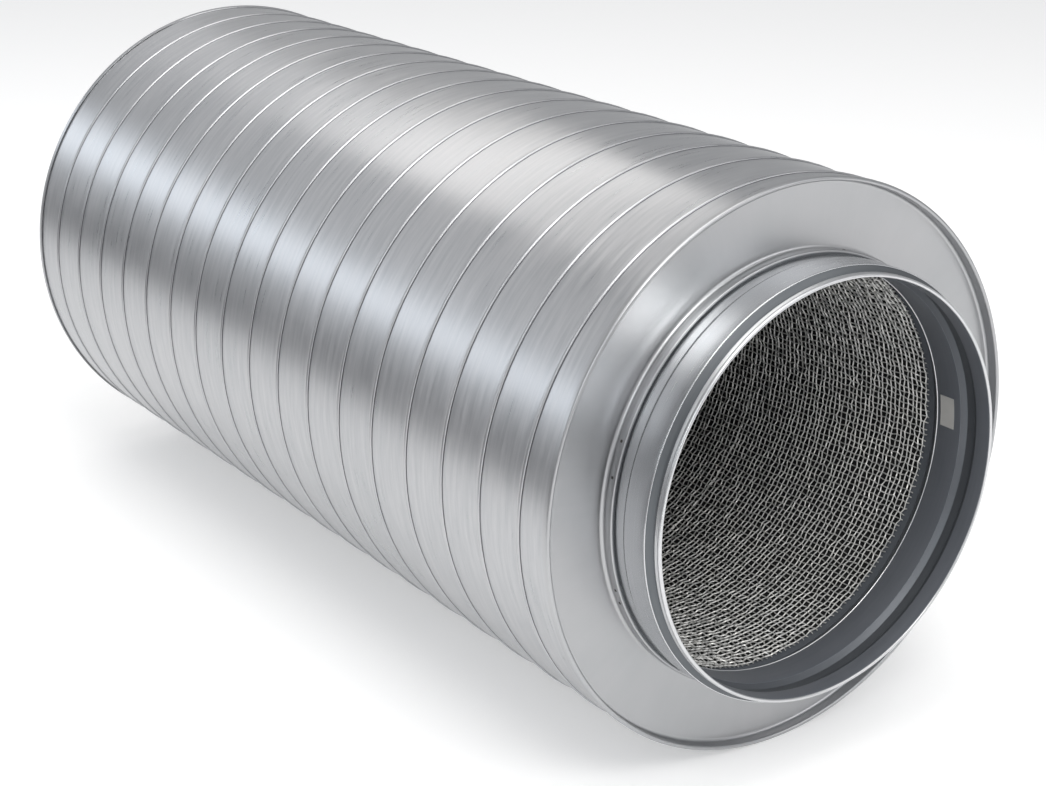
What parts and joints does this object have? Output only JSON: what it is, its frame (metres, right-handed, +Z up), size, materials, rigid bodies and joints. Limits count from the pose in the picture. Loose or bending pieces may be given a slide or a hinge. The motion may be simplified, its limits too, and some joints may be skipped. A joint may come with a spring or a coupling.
{
  "type": "duct sound attenuator",
  "caption": "Round duct silencer: a spiral-wound galvanised casing with dished end caps, push-in spigots and a mesh-lined absorber round a straight air path.",
  "frame": {"origin": "on the duct's axis at the middle of its length", "axes": "+X along the axis and out of the front spigot, the near end in the picture; +Z up as it lies in the picture"},
  "size_m": [0.9, 0.4176, 0.4175],
  "materials": {
    "casing_sheet": "galvanised, fine brushed streaks round the tube",
    "cap_sheet": "galvanised, satin",
    "spigot_sheet": "galvanised, fine brushed streaks round the spigot",
    "mesh_wire": "galvanised wire",
    "fleece": "matte black",
    "wool": "matte",
    "label": "matte paper"
  },
  "bodies": {
    "root": {"outer_casing": "casing_sheet", "front_end_cap": "cap_sheet", "rear_end_cap": "cap_sheet", "front_spigot": "spigot_sheet", "rear_spigot": "spigot_sheet", "front_liner_ring": "spigot_sheet", "rear_liner_ring": "spigot_sheet", "mesh_liner": "mesh_wire", "acoustic_fleece": "fleece", "mineral_wool": "wool", "label": "label"}
  },
  "joints": []
}
